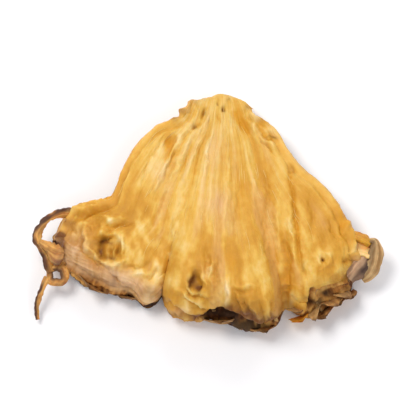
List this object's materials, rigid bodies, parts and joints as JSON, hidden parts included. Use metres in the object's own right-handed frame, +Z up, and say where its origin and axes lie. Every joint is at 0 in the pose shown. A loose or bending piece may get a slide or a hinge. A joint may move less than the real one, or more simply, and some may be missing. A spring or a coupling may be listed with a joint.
{
  "type": "dried pineapple quarter",
  "caption": "Quarter of a pineapple slice dried with its rind on: a thin pleated fan of flesh that domes up from a blunt tip to a low scaly rind.",
  "frame": {"origin": "middle of the piece's outline, on the table that it lies on", "axes": "+X to the right across the fan, +Y towards the tip of the core, +Z up out of the face"},
  "size_m": [0.0777, 0.0565, 0.0149],
  "materials": {
    "dried_flesh": "dull, fibrous golden flesh with a grey-brown scaly rind"
  },
  "bodies": {
    "root": {"dried_pineapple_quarter": "dried_flesh"}
  },
  "joints": []
}
